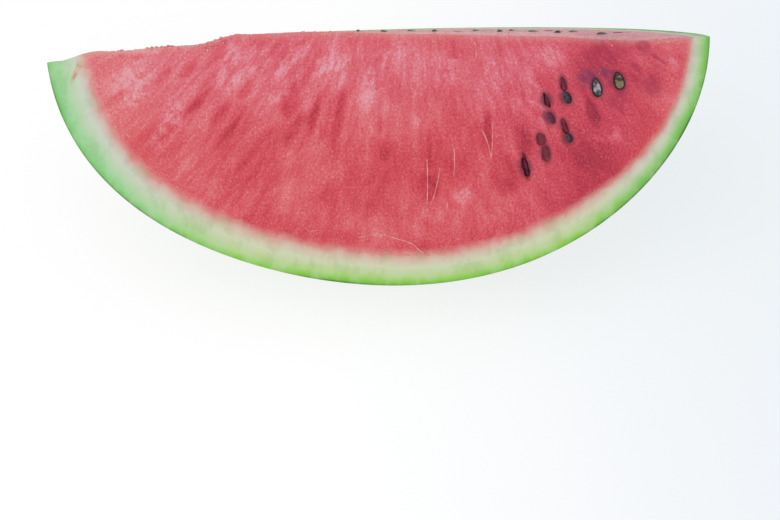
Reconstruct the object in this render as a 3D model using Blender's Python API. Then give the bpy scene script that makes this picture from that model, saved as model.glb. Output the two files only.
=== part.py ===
"""Watermelon wedge: a quarter of an oblong melon, cut lengthwise, lying on its rind.

Frame: metres, +Z up, origin under the middle of the wedge, on the surface that it rests on.
+X runs along the melon from its stem end to its blossom end. The first knife cut, the one
that shows the seeds, faces -Y and upwards. The second cut faces +Y and upwards, and the two
meet along the core at the top.

Places on the wedge are given in melon coordinates: x along the melon's axis, p straight down
the first cut from the axis, and q straight down the second cut, both cuts at 45 degrees.
"""

import math

import bmesh
import bpy
from mathutils import Matrix, Vector

MM = 0.001

# The melon
HALF_LENGTH = 150 * MM          # from the middle to either end
HALF_WIDTH = 112.5 * MM         # radius at the middle
BELLY = 0.050                   # how much fuller the blossom half is
SHOULDER = 0.021                # how much squarer than an ellipse both ends are
TAPER = 0.080                   # how much the blossom end draws in again
MELON_SEGMENTS = 70             # not a multiple of 8, so no seam of faces lies along a cut
MELON_RINGS = 48

# How it lies: its lowest point is pressed flat where it rests
FOOT_DEPTH = 0.8 * MM
LOWEST_RADIUS = 112.65 * MM
AXIS_X = -0.36 * MM             # so that the origin is at the middle of the wedge's box
AXIS_Y = -0.48 * MM
AXIS_Z = LOWEST_RADIUS - FOOT_DEPTH
CUT_ANGLE = math.radians(45)

# The second cut wanders a little and twists from end to end, and along the core its edge has
# crumbled away from the line that the knife took. Both are x and depth p below the axis.
KNIFE_LINE = (
    (-150 * MM, 9.0 * MM),
    (-30 * MM, -2.8 * MM),
    (150 * MM, -0.4 * MM),
)
CORE_EDGE = (
    (-150 * MM, 11.2 * MM),
    (-125 * MM, 5.6 * MM),
    (-85 * MM, 3.2 * MM),
    (-62 * MM, -2.0 * MM),
    (-26 * MM, -3.1 * MM),
    (20 * MM, -2.0 * MM),
    (70 * MM, -1.1 * MM),
    (118 * MM, 1.0 * MM),
    (150 * MM, -0.6 * MM),
)
SECOND_CUT_SLOPE = 0.014        # how far it leans into the flesh, per metre of q
SECOND_CUT_TWIST = 0.35         # how fast that lean falls, per metre of x
CRUMBLED_DEPTH = 60 * MM        # how far down the second cut the crumbling fades out
CUT_STEPS = 32
CUT_ROWS = 5                    # between the core edge and CRUMBLED_DEPTH
CUT_MARGIN = 1 * MM             # the rows start this far outside the first cut
CUT_OVERRUN = 20 * MM

# Seeds
SEED_LENGTH = 9.0 * MM
SEED_WIDTH = 5.2 * MM
SEED_THICKNESS = 2.3 * MM
SEED_POINT = 0.30               # how much narrower the pointed end is than the round end
SEED_SEGMENTS = 12
SEED_RINGS = 8
GAP = 0.3 * MM                  # clearance between a seed and its pocket

# Seeds that show in the first cut: x, p, lean and turn in degrees, how deep the middle lies,
# and length, width and thickness as parts of a full seed. A seed that leans has its lower
# end towards the blossom. Turn 0 shows its flat side and turn 90 its edge.
FIRST_CUT_SEEDS = (
    ("front_seed_1", 76.4, 28.2, 17, 78, 1.6, 0.78, 0.80, 1.0),
    ("front_seed_2", 77.9, 36.0, 30, 38, 1.3, 0.80, 0.85, 1.0),
    ("front_seed_3", 85.2, 26.8, 22, 16, 0.9, 0.76, 0.90, 1.0),
    ("front_seed_6", 86.2, 45.1, 24, 24, 1.1, 0.64, 0.80, 1.0),
    ("front_seed_7", 67.0, 58.4, 13, 74, 1.9, 1.06, 0.90, 1.0),
)
# Seeds that the knife sliced through, flush with the first cut
SLICED_SEEDS = (
    ("front_seed_4", 99.1, 22.3, 12, 8, 0.15, 1.00, 0.92, 1.2),
    ("front_seed_5", 109.1, 19.3, 15, 6, 0.10, 0.94, 1.00, 1.2),
)
SLICE_SINK = 0.05 * MM          # how far the sliced faces have dried back

# Pockets whose seeds came away with the other piece: as above, without a name
FIRST_CUT_HOLLOWS = (
    (84.5, 20.6, 14, 20, 0.9, 0.62, 0.70, 1.2),
    (84.8, 40.2, 18, 24, 0.8, 0.56, 0.72, 1.2),
    (74.3, 45.3, 16, 30, 0.7, 0.62, 0.80, 1.3),
    (76.4, 52.2, 12, 36, 0.9, 1.10, 0.86, 1.3),
    (119.2, 3.6, 20, 10, 0.6, 0.50, 0.80, 1.3),
)

# Seeds that show in the second cut: x, q and the rest as above
SECOND_CUT_SEEDS = (
    ("back_seed_1", -34.0, 49.0, -8, 14, 0.9, 0.96, 0.96, 1.0),
    ("back_seed_2", -9.0, 57.0, 10, 70, 1.6, 1.00, 0.92, 1.0),
    ("back_seed_3", 4.0, 47.5, -14, 24, 1.0, 0.94, 1.00, 1.0),
    ("back_seed_4", 16.0, 60.5, 6, 12, 0.8, 1.00, 0.96, 1.0),
    ("back_seed_5", 27.0, 50.5, 18, 62, 1.5, 0.92, 0.90, 1.0),
    ("back_seed_6", 47.0, 57.0, 12, 18, 0.9, 1.00, 1.00, 1.0),
    ("back_seed_7", 57.0, 46.0, 22, 80, 1.7, 0.96, 0.94, 1.0),
    ("back_seed_8", 64.0, 60.0, 16, 30, 1.1, 0.90, 0.92, 1.0),
    ("back_seed_9", 73.0, 50.0, 26, 14, 0.8, 1.00, 0.98, 1.0),
    ("back_seed_10", 84.0, 40.5, 30, 68, 1.6, 0.94, 0.92, 1.0),
    ("back_seed_11", 92.0, 49.5, 28, 20, 1.0, 0.98, 0.94, 1.0),
    ("back_seed_12", 104.0, 33.0, 40, 26, 1.0, 0.92, 0.96, 1.0),
)
SECOND_CUT_HOLLOWS = (
    (-21.0, 60.0, 8, 20, 0.8, 0.90, 0.90, 1.2),
    (37.5, 44.0, -10, 30, 0.8, 0.86, 0.90, 1.2),
    (80.5, 58.5, 24, 16, 0.8, 0.92, 0.92, 1.2),
    (112.0, 43.0, 34, 34, 0.9, 0.84, 0.86, 1.2),
)

MELON_LOOK = ((0.74, 0.16, 0.17, 1.0), 0.42)
SEED_LOOK = ((0.030, 0.022, 0.022, 1.0), 0.28)


def melon_radius(x):
    """Radius of the melon at x along its axis."""
    u = max(-1.0, min(1.0, x / HALF_LENGTH))
    fullness = 1 + BELLY * u + SHOULDER * u * u - TAPER * u ** 3
    return HALF_WIDTH * math.sqrt(1 - u * u) * fullness


def eased(points, x):
    """A level that eases from each point of a line to the next."""
    if x <= points[0][0]:
        return points[0][1]
    for (x0, p0), (x1, p1) in zip(points, points[1:]):
        if x <= x1:
            ease = (1 - math.cos(math.pi * (x - x0) / (x1 - x0))) / 2
            return p0 + (p1 - p0) * ease
    return points[-1][1]


def second_cut_depth(x, q):
    """Depth p of the second cut, q down from the core edge."""
    faded = max(0.0, min(1.0, q / CRUMBLED_DEPTH))
    crumbled = (eased(CORE_EDGE, x) - eased(KNIFE_LINE, x)) * (1 - faded) ** 2
    lean = SECOND_CUT_SLOPE - SECOND_CUT_TWIST * x
    return eased(KNIFE_LINE, x) + crumbled + lean * q


def melon_point(x, p, q):
    """Where melon coordinates lie in the part's frame."""
    across = (q - p) * math.cos(CUT_ANGLE)
    down = (p + q) * math.sin(CUT_ANGLE)
    return Vector((AXIS_X + x, AXIS_Y + across, AXIS_Z - down))


def first_cut_place(x, p, sink):
    """A point under the first cut, with the directions down along it and out of it."""
    down = (melon_point(x, 1, 0) - melon_point(x, 0, 0)).normalized()
    out = (melon_point(x, 0, 0) - melon_point(x, 0, 1)).normalized()
    return melon_point(x, p, 0) - out * sink, down, out


def second_cut_point(x, q):
    return melon_point(x, second_cut_depth(x, q), q)


def second_cut_place(x, q, sink):
    """The same for the second cut, whose surface is not quite flat."""
    step = 1 * MM
    down = (second_cut_point(x, q + step) - second_cut_point(x, q)).normalized()
    along = (second_cut_point(x + step, q) - second_cut_point(x - step, q)).normalized()
    out = along.cross(-down).normalized()
    if out.z < 0:
        out = -out
    return second_cut_point(x, q) - out * sink, down, out


def seed_turned(along, down, out, lean, turn):
    """Rotation of a seed whose length follows the cut: Z its length, Y its flat side."""
    length_way = down * math.cos(lean) + along * math.sin(lean)
    width_way = out.cross(length_way)
    upright = Matrix((width_way, out, length_way)).transposed()
    return upright @ Matrix.Rotation(turn, 3, "Z")


def new_object(name, mesh, look=None):
    """Object for a mesh, with its own Principled material where a look is given."""
    body = bpy.data.objects.new(name, mesh)
    bpy.context.scene.collection.objects.link(body)
    if look:
        colour, roughness = look
        finish = bpy.data.materials.new(name)
        finish.use_nodes = True
        shader = finish.node_tree.nodes["Principled BSDF"]
        shader.inputs["Base Color"].default_value = colour
        shader.inputs["Roughness"].default_value = roughness
        shader.inputs["Metallic"].default_value = 0.0
        finish.diffuse_color = colour
        mesh.materials.append(finish)
    return body


def face_outwards(bm):
    bmesh.ops.recalc_face_normals(bm, faces=bm.faces)
    if bm.calc_volume(signed=True) < 0:
        bmesh.ops.reverse_faces(bm, faces=bm.faces)


def mesh_from(bm, name):
    face_outwards(bm)
    mesh = bpy.data.meshes.new(name)
    bm.to_mesh(mesh)
    bm.free()
    return mesh


def slice_off(bm, point, out):
    """Cuts a closed mesh through a point, takes away the side that out points to, and caps it."""
    everything = bm.verts[:] + bm.edges[:] + bm.faces[:]
    cut = bmesh.ops.bisect_plane(
        bm, geom=everything, dist=1e-7, plane_co=point, plane_no=out, clear_outer=True)
    rim = [item for item in cut["geom_cut"] if isinstance(item, bmesh.types.BMEdge)]
    bmesh.ops.edgeloop_fill(bm, edges=rim)


def melon_mesh():
    """The whole melon, turned about its long axis, then halved and given its resting flat."""
    bm = bmesh.new()
    outline = []
    for ring in range(MELON_RINGS + 1):
        x = -HALF_LENGTH * math.cos(math.pi * ring / MELON_RINGS)
        outline.append(bm.verts.new((AXIS_X + x, AXIS_Y, AXIS_Z + melon_radius(x))))
    edges = [bm.edges.new(pair) for pair in zip(outline, outline[1:])]
    bmesh.ops.spin(
        bm, geom=outline + edges, cent=(AXIS_X, AXIS_Y, AXIS_Z), axis=(1, 0, 0),
        angle=math.tau, steps=MELON_SEGMENTS, use_merge=True)
    bmesh.ops.remove_doubles(bm, verts=bm.verts, dist=1e-6)
    bmesh.ops.recalc_face_normals(bm, faces=bm.faces)
    _, _, out = first_cut_place(0, 0, 0)
    slice_off(bm, melon_point(0, 0, 0), out)
    slice_off(bm, Vector((0, 0, 0)), Vector((0, 0, -1)))
    return mesh_from(bm, "wedge")


def second_cut_mesh():
    """A block that holds everything above the second cut, bounded below by that cut."""
    bm = bmesh.new()
    reach = HALF_LENGTH + CUT_OVERRUN
    far = HALF_WIDTH + CUT_OVERRUN
    rows = [CRUMBLED_DEPTH * row / CUT_ROWS - CUT_MARGIN for row in range(CUT_ROWS + 1)]
    sections = []
    for step in range(CUT_STEPS + 1):
        x = reach * (2 * step / CUT_STEPS - 1)
        corners = [second_cut_point(x, q) for q in (-CUT_OVERRUN, *rows, far)]
        corners += [melon_point(x, -far, far), melon_point(x, -far, -CUT_OVERRUN)]
        sections.append([bm.verts.new(corner) for corner in corners])
    for near, next_one in zip(sections, sections[1:]):
        for i in range(len(near)):
            j = (i + 1) % len(near)
            bm.faces.new((near[i], near[j], next_one[j], next_one[i]))
    bm.faces.new(sections[0])
    bm.faces.new(sections[-1])
    bmesh.ops.triangulate(bm, faces=bm.faces)
    return mesh_from(bm, "second_cut")


def seed_bmesh(length, width, thickness):
    """A flattened drop, pointed at its upper end, with its length along Z."""
    bm = bmesh.new()
    bmesh.ops.create_uvsphere(bm, u_segments=SEED_SEGMENTS, v_segments=SEED_RINGS, radius=1.0)
    for vert in bm.verts:
        towards_tip = -vert.co.z
        narrowing = 1 - SEED_POINT * towards_tip * (0.5 + 0.5 * abs(towards_tip))
        vert.co.x *= width / 2 * narrowing
        vert.co.y *= thickness / 2 * narrowing
        vert.co.z *= length / 2
    return bm


def seed_sizes(shares, extra=0.0):
    full = (SEED_LENGTH, SEED_WIDTH, SEED_THICKNESS)
    return [size * share + extra for size, share in zip(full, shares)]


def place_seed(body, place_on_cut, x, depth, lean, turn, sink):
    """Sets a seed, or the cutter of its pocket, into a cut."""
    point, down, out = place_on_cut(x * MM, depth * MM, sink * MM)
    along = down.cross(out)
    if along.x < 0:
        along = -along
    turned = seed_turned(along, down, out, math.radians(lean), math.radians(turn))
    body.location = point
    body.rotation_euler = turned.to_euler()


def make_pocket(name, pockets, place_on_cut, setting, shares):
    """Cutter for a pocket: the seed's shape with its clearance all round."""
    bm = seed_bmesh(*seed_sizes(shares, 2 * GAP))
    cutter = new_object(name, mesh_from(bm, name))
    place_seed(cutter, place_on_cut, *setting)
    hide_cutter(cutter)
    bpy.context.scene.collection.objects.unlink(cutter)
    pockets.objects.link(cutter)


def make_seed(name, pockets, place_on_cut, setting, shares, sliced=False):
    """One seed with its pocket."""
    bm = seed_bmesh(*seed_sizes(shares))
    seed = new_object(name, mesh_from(bm, name), SEED_LOOK)
    place_seed(seed, place_on_cut, *setting)
    if sliced:
        slice_seed(seed, place_on_cut, setting)
    seed.data.shade_smooth()
    seed.data.set_sharp_from_angle(angle=math.radians(50))
    make_pocket(name + "_pocket", pockets, place_on_cut, setting, shares)


def slice_seed(seed, place_on_cut, setting):
    """Takes off what the knife took, in the seed's own coordinates."""
    x, depth = setting[0] * MM, setting[1] * MM
    point, _, out = place_on_cut(x, depth, SLICE_SINK)
    to_seed = Matrix.LocRotScale(seed.location, seed.rotation_euler, None).inverted()
    bm = bmesh.new()
    bm.from_mesh(seed.data)
    slice_off(bm, to_seed @ point, to_seed.to_3x3() @ out)
    face_outwards(bm)
    bm.to_mesh(seed.data)
    bm.free()


def hide_cutter(cutter):
    cutter.hide_render = True
    cutter.display_type = "WIRE"


def make_seeds(pockets):
    for name, *values in FIRST_CUT_SEEDS:
        make_seed(name, pockets, first_cut_place, values[:5], values[5:])
    for name, *values in SLICED_SEEDS:
        make_seed(name, pockets, first_cut_place, values[:5], values[5:], sliced=True)
    for name, *values in SECOND_CUT_SEEDS:
        make_seed(name, pockets, second_cut_place, values[:5], values[5:])


def make_hollows(pockets):
    """Pockets that have lost their seeds."""
    for place_on_cut, hollows in (
            (first_cut_place, FIRST_CUT_HOLLOWS),
            (second_cut_place, SECOND_CUT_HOLLOWS)):
        for number, values in enumerate(hollows):
            name = f"{place_on_cut.__name__}_hollow_{number}"
            make_pocket(name, pockets, place_on_cut, values[:5], values[5:])


def make_wedge(pockets):
    """Flesh and rind, grown as one piece: the halved melon less the second cut and pockets."""
    wedge = new_object("wedge", melon_mesh(), MELON_LOOK)
    cutter = new_object("second_cut", second_cut_mesh())
    hide_cutter(cutter)
    knife = wedge.modifiers.new("second cut", "BOOLEAN")
    knife.operation = "DIFFERENCE"
    knife.solver = "EXACT"
    knife.use_self = True
    knife.object = cutter
    scoop = wedge.modifiers.new("seed pockets", "BOOLEAN")
    scoop.operation = "DIFFERENCE"
    scoop.solver = "EXACT"
    scoop.operand_type = "COLLECTION"
    scoop.collection = pockets
    wedge.data.shade_smooth()
    wedge.data.set_sharp_from_angle(angle=math.radians(30))


def main():
    for leftover in list(bpy.data.objects):
        bpy.data.objects.remove(leftover)
    pockets = bpy.data.collections.new("pockets")
    bpy.context.scene.collection.children.link(pockets)
    make_seeds(pockets)
    make_hollows(pockets)
    make_wedge(pockets)


main()
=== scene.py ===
"""Looks of the watermelon wedge: wet granular flesh, rind and striped skin, seeds and crumbs.

Everything is in metres in the frame of the CAD model. Places on the wedge are in melon
coordinates: x along the melon's axis, p down the first cut from that axis, and q at right
angles to it, down the second cut but for that cut's small lean and twist.
"""

import math

import bmesh
import bpy
import numpy as np
from mathutils import Matrix, Vector, noise


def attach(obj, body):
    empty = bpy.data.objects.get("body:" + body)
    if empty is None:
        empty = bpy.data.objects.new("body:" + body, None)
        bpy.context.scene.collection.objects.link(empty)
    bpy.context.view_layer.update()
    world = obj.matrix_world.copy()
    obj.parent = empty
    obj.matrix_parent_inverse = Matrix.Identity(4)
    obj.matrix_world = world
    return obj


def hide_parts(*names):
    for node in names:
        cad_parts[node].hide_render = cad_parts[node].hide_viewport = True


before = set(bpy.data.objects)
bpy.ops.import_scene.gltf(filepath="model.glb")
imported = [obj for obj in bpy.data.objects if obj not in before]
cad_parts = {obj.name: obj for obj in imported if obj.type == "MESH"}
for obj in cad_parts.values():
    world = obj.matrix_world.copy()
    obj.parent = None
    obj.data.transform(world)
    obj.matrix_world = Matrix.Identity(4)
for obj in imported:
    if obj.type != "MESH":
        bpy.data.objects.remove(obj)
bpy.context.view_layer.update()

MM = 0.001

# The melon's shape, as the CAD model has it
HALF_LENGTH = 150 * MM
HALF_WIDTH = 112.5 * MM
BELLY = 0.050
SHOULDER = 0.021
TAPER = 0.080
AXIS = Vector((-0.36 * MM, -0.48 * MM, 111.85 * MM))
DIAGONAL = math.sqrt(0.5)
KNIFE_LINE = (
    (-150 * MM, 9.0 * MM),
    (-30 * MM, -2.8 * MM),
    (150 * MM, -0.4 * MM),
)
CORE_EDGE = (
    (-150 * MM, 11.2 * MM),
    (-125 * MM, 5.6 * MM),
    (-85 * MM, 3.2 * MM),
    (-62 * MM, -2.0 * MM),
    (-26 * MM, -3.1 * MM),
    (20 * MM, -2.0 * MM),
    (70 * MM, -1.1 * MM),
    (118 * MM, 1.0 * MM),
    (150 * MM, -0.6 * MM),
)
SKIN_ALLOWANCE = 0.12 * MM       # keeps the fine skin inside the CAD model's facets
LEAN = 0.014
TWIST = 0.35
CRUMBLED_DEPTH = 60 * MM

# How finely the wedge is meshed: columns along it, and rows round it
COLUMNS = 384
FRONT_ROWS = 108
SKIN_ROWS = 45
BACK_ROWS = 72
CROWDING = 0.06                 # how much closer the columns lie where the seeds are
CROWDED_AT = 0.66
ROW_CROWDING = 0.04
ROWS_CROWDED_AT = 0.33

RUNS_OUT = (12 * MM, 30 * MM)   # the melon's radius where its cuts gain their relief
DEEPEST_CORE = -0.7             # lowest core edge, as a share of that radius
HAIR = 1e-5                     # slack for telling rows and columns apart

STRIPE_TURNS = 13.5             # dark stripes in a whole turn round the melon

# Flesh: its grain fans out from the core towards the rind
PER_MM = 1000                   # texture scale at which places count in millimetres
FAN_FROM = 20 * MM
FAN_SPREAD = 1.2
STREAK_SINK = 0.45 * MM
WAVE_HEIGHT = 0.50 * MM
GRAIN_HEIGHT = 0.16 * MM
FLAT_EDGE = 2.0 * MM            # the relief of a cut fades out this near its edges
BACK_CUT_SHIFT = 0.05           # how far the second cut's textures lie from the first's

# Seeds and their pockets
SEED_POINT = 0.30               # how much narrower the pointed end is than the round end
SEED_ROUNDS = (36, 24)          # faces round a seed and along it
POCKET_ROUNDS = (24, 14)
SEED_CREASE = math.radians(50)  # edges sharper than this aren't smoothed
WEDGE_CREASE = math.radians(40)
SLICE_SINK = 0.05 * MM
SLICED_MIDDLE = 0.12 * MM       # how deep the middle of a sliced seed lies
SLICED_TRIM = 0.3 * MM
COAT_WIDTH = 0.52 * MM
COAT_STEP = (0.18 * MM, -0.16 * MM)
POCKET_ROOM = 0.06 * MM
LUMP_HEIGHT = 0.55 * MM

STRAND_WIDTH = 0.62 * MM
STRAND_SINK = 0.34 * MM

# Stage: the camera looks down on the first cut, past a point off the melon's middle
VIEW_PITCH = math.radians(51.3)
VIEW_DISTANCE = 1.2
VIEW_ACROSS = 5.64 * MM
VIEW_BELOW = 100.2 * MM
SENSOR_WIDTH = 36
LENS = 122.8
LIGHT_TARGET = (0, 0, 0.06)
FLOOR_SIZE = 3.0
FLOOR_GLOW = 0.82
WORLD_LIGHT = 0.63

# Empty pockets and slots in the first cut, and in the second: x, depth, lean, length, width
# and sink, in millimetres and degrees. Some run on from a seed that slipped in its pocket.
FRONT_HOLLOWS = (
    (76.3, 28.0, 17, 7.6, 2.3, 0.5),
    (83.9, 20.8, 12, 8.6, 2.9, 0.7),
    (84.6, 39.8, 16, 8.0, 2.9, 0.7),
    (74.0, 45.6, 16, 6.4, 4.4, 0.7),
    (76.2, 52.0, 12, 10.0, 4.6, 0.9),
    (67.0, 57.8, 12, 14.0, 3.2, 0.6),
)
BACK_HOLLOWS = (
    (-21.0, 60.0, 8, 8.4, 4.6, 0.8),
    (37.5, 44.0, -10, 7.8, 4.4, 0.8),
    (80.5, 58.5, 24, 8.4, 4.6, 0.8),
    (112.0, 43.0, 34, 7.8, 4.2, 0.9),
)
HOLLOW_THICKNESS = 2.8 * MM
RED_SEEDS = ("front_seed_1", "front_seed_2", "front_seed_7", "back_seed_3", "back_seed_8")

# Pale strands that run through the flesh where the cuts meet them: x and depth in millimetres
FRONT_STRANDS = (
    ((-121.0, 38.6), (-116.4, 41.4), (-111.6, 45.4)),
    ((-8.6, 90.6), (-0.3, 88.6), (7.4, 90.7), (16.0, 93.2), (19.6, 97.3), (23.7, 98.6)),
    ((-4.1, 94.5), (4.3, 98.1), (14.7, 98.5)),
    ((31.6, 73.8), (32.0, 77.4), (30.6, 80.6), (26.8, 82.5)),
    ((22.4, 55.0), (23.0, 66.0), (22.4, 76.9)),
    ((28.3, 58.9), (26.3, 72.0), (23.8, 76.0)),
    ((34.6, 50.0), (35.2, 56.0), (34.6, 62.4)),
    ((46.9, 41.0), (50.4, 46.7), (51.6, 55.0)),
    ((51.9, 38.6), (52.4, 46.0), (51.6, 54.4)),
    ((43.6, 1.6), (45.0, 5.2), (44.4, 9.6)),
)
BACK_STRANDS = (
    ((-72.0, 62.0), (-66.5, 67.5), (-62.0, 74.0)),
    ((-20.0, 78.0), (-16.0, 84.5), (-17.5, 91.0)),
    ((38.0, 70.0), (41.5, 76.5), (40.0, 83.0)),
)


class Wire:
    """A value in a node tree. Arithmetic on it adds the Math nodes that work it out."""

    def __init__(self, web, socket):
        self.web = web
        self.socket = socket

    def __add__(self, other):
        return self.web.maths("ADD", self, other)

    def __radd__(self, other):
        return self.web.maths("ADD", other, self)

    def __sub__(self, other):
        return self.web.maths("SUBTRACT", self, other)

    def __rsub__(self, other):
        return self.web.maths("SUBTRACT", other, self)

    def __mul__(self, other):
        return self.web.maths("MULTIPLY", self, other)

    def __rmul__(self, other):
        return self.web.maths("MULTIPLY", other, self)

    def __truediv__(self, other):
        return self.web.maths("DIVIDE", self, other)

    def __neg__(self):
        return self.web.maths("MULTIPLY", self, -1.0)

    def __gt__(self, other):
        return self.web.maths("GREATER_THAN", self, other)

    def __lt__(self, other):
        return self.web.maths("LESS_THAN", self, other)


class Web:
    """One node tree, of a material or of Geometry Nodes, and the way nodes are added to it."""

    def __init__(self, tree):
        self.tree = tree

    def add(self, kind, settings=None, values=None, out=0):
        """A node of a kind, its settings first, then its sockets. Returns one of its outputs."""
        node = self.tree.nodes.new(kind)
        for name, value in (settings or {}).items():
            if name == "stops":
                self.set_stops(node.color_ramp, value)
            else:
                setattr(node, name, value)
        for name, value in (values or {}).items():
            self.feed(node.inputs[name], value)
        return Wire(self, node.outputs[out]) if len(node.outputs) else node

    def feed(self, socket, value):
        if isinstance(value, Wire):
            self.tree.links.new(value.socket, socket)
        else:
            socket.default_value = value

    def set_stops(self, ramp, stops):
        while len(ramp.elements) < len(stops):
            ramp.elements.new(1.0)
        for element, (place, colour) in zip(ramp.elements, stops):
            element.position = place
            element.color = colour

    def maths(self, operation, *numbers):
        return self.add("ShaderNodeMath", {"operation": operation}, dict(enumerate(numbers)))

    def root(self, value):
        return self.maths("SQRT", self.maths("MAXIMUM", value, 0.0))

    def least(self, one, other):
        return self.maths("MINIMUM", one, other)

    def most(self, one, other):
        return self.maths("MAXIMUM", one, other)

    def held(self, value):
        """The value kept from 0 to 1."""
        return self.least(self.most(value, 0.0), 1.0)

    def ramp(self, value, low, high, start=0.0, end=1.0, smooth=True):
        """From start at low to end at high, eased or straight, and level outside them."""
        kind = "SMOOTHSTEP" if smooth else "LINEAR"
        numbers = dict(enumerate((value, low, high, start, end)))
        return self.add("ShaderNodeMapRange", {"interpolation_type": kind}, numbers)

    def point(self, x, y, z):
        return self.add("ShaderNodeCombineXYZ", values={0: x, 1: y, 2: z})

    def split(self, vector):
        node = self.add("ShaderNodeSeparateXYZ", values={0: vector}).socket.node
        return [Wire(self, socket) for socket in node.outputs[:3]]

    def noise(self, vector, scale, detail=2.0, roughness=0.5, warp=0.0):
        values = {
            "Vector": vector, "Scale": scale, "Detail": detail,
            "Roughness": roughness, "Distortion": warp}
        return self.add("ShaderNodeTexNoise", values=values)

    def cells(self, vector, scale, feature):
        values = {"Vector": vector, "Scale": scale}
        return self.add("ShaderNodeTexVoronoi", {"feature": feature}, values)

    def stops(self, share, stops):
        """A colour from a ramp of stops, each a place and display values."""
        dyed = [(place, dye(*colour)) for place, colour in stops]
        return self.add("ShaderNodeValToRGB", {"stops": dyed}, {0: share})

    def bump(self, strength, distance, height):
        values = {"Strength": strength, "Distance": distance, "Height": height}
        return self.add("ShaderNodeBump", values=values)

    def blend(self, share, one, other):
        """One colour going over to another."""
        return self.add("ShaderNodeMix", {"data_type": "RGBA"}, {
            0: share, 6: one, 7: other}, out=2)

    def random(self, low, high, seed):
        return self.add("FunctionNodeRandomValue", {"data_type": "FLOAT"}, {
            2: low, 3: high, "Seed": seed}, out=1)

    def stored(self, name):
        """A shade that was stored on the geometry, for a Geometry Nodes tree."""
        return self.add("GeometryNodeInputNamedAttribute", {"data_type": "FLOAT"}, {
            "Name": name})

    def painted(self, name):
        """A shade that was stored on the mesh, for a material."""
        return self.add("ShaderNodeAttribute", {"attribute_name": name}, out="Fac")

    def object_place(self):
        return self.add("ShaderNodeTexCoord", out="Object")


def dye(red, green, blue):
    """A colour from its display values, 0 to 255."""
    def linear(value):
        value /= 255
        return value / 12.92 if value <= 0.04045 else ((value + 0.055) / 1.055) ** 2.4
    return (linear(red), linear(green), linear(blue), 1.0)


# ---------------------------------------------------------------- melon coordinates

def melon_point(x, p, q):
    """Where melon coordinates lie in the frame."""
    return AXIS + Vector((x, (q - p) * DIAGONAL, -(p + q) * DIAGONAL))


def melon_place(point):
    """The melon coordinates of a point in the frame."""
    away = point - AXIS
    down = -away.z / DIAGONAL
    across = away.y / DIAGONAL
    return away.x, (down - across) / 2, (down + across) / 2


def eased(points, x):
    """A level that eases from each point of a line to the next, for one x or an array."""
    level = points[0][1]
    for (x0, p0), (x1, p1) in zip(points, points[1:]):
        share = np.clip((x - x0) / (x1 - x0), 0, 1)
        level = level + (p1 - p0) * (1 - np.cos(math.pi * share)) / 2
    return level


def second_cut_depth(x, q):
    faded = np.clip(q / CRUMBLED_DEPTH, 0, 1)
    crumbled = (eased(CORE_EDGE, x) - eased(KNIFE_LINE, x)) * (1 - faded) ** 2
    return eased(KNIFE_LINE, x) + crumbled + (LEAN - TWIST * x) * q


def eased_wire(web, points, x):
    """The same easing, worked out by nodes."""
    level = points[0][1]
    for (x0, p0), (x1, p1) in zip(points, points[1:]):
        share = web.ramp(x, x0, x1, smooth=False)
        level = (1 - web.maths("COSINE", share * math.pi)) * ((p1 - p0) / 2) + level
    return level


def fullness(u):
    """How much wider than an ellipse the melon is at u, its half lengths from the middle."""
    return 1 + u * (BELLY + u * (SHOULDER - u * TAPER))


def melon_wires(web, place):
    """The melon coordinates x, p and q of a place."""
    px, py, pz = web.split(place)
    down = (AXIS.z - pz) / DIAGONAL
    across = (py - AXIS.y) / DIAGONAL
    return px - AXIS.x, (down - across) * 0.5, (down + across) * 0.5


def fanned(x, depth):
    """Where a line of the flesh's grain starts at the core, for a point down a cut."""
    return (x - FAN_FROM) / (depth * (FAN_SPREAD / HALF_WIDTH) + 1) + FAN_FROM


def streaks(web, x, depth, side):
    """Dark red streaks along the grain, from 0 to 1."""
    w = fanned(x, depth)
    broad = web.noise(web.point(w * 0.105, depth * 0.020, side), PER_MM, 2.0, 0.55, 0.3)
    fine = web.noise(web.point(w * 0.31, depth * 0.055, side + 0.007), PER_MM, 2.0, 0.6, 0.4)
    left = web.ramp(x, -0.12, 0.05, 1.0, 0.55)
    drawn = web.ramp(broad, 0.53, 0.70) * left + web.ramp(fine, 0.56, 0.74) * 0.45
    deep_enough = web.ramp(depth, 4 * MM, 16 * MM, 0.25, 1.0)
    return web.held(drawn * deep_enough)


# ---------------------------------------------------------------- Geometry Nodes

def new_shape(name, inputs):
    """A Geometry Nodes tree with named inputs. Returns its web and those inputs as wires."""
    tree = bpy.data.node_groups.new(name, "GeometryNodeTree")
    tree.interface.new_socket("Geometry", in_out="INPUT", socket_type="NodeSocketGeometry")
    for title, kind, value in inputs:
        socket = tree.interface.new_socket(title, in_out="INPUT", socket_type=kind)
        if value is not None:
            socket.default_value = value
    tree.interface.new_socket("Geometry", in_out="OUTPUT", socket_type="NodeSocketGeometry")
    web = Web(tree)
    entry = tree.nodes.new("NodeGroupInput")
    given = {socket.name: Wire(web, socket) for socket in entry.outputs if socket.name}
    return web, given


def finish_shape(web, geometry, finish):
    """Smooth shading, then Realize Instances and Set Material, which a tree ends in."""
    smooth = web.add("GeometryNodeSetShadeSmooth", values={"Geometry": geometry})
    solid = web.add("GeometryNodeRealizeInstances", values={"Geometry": smooth})
    return web.add("GeometryNodeSetMaterial", values={"Geometry": solid, "Material": finish})


def close_shape(web, geometry):
    web.add("NodeGroupOutput", values={0: geometry})
    return web.tree


def shape_modifier(body, tree, values):
    """Runs a tree on an object, its inputs set by their identifiers."""
    modifier = body.modifiers.new(tree.name, "NODES")
    modifier.node_group = tree
    for item in tree.interface.items_tree:
        if item.item_type == "SOCKET" and item.in_out == "INPUT" and item.name in values:
            modifier[item.identifier] = values[item.name]


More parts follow.
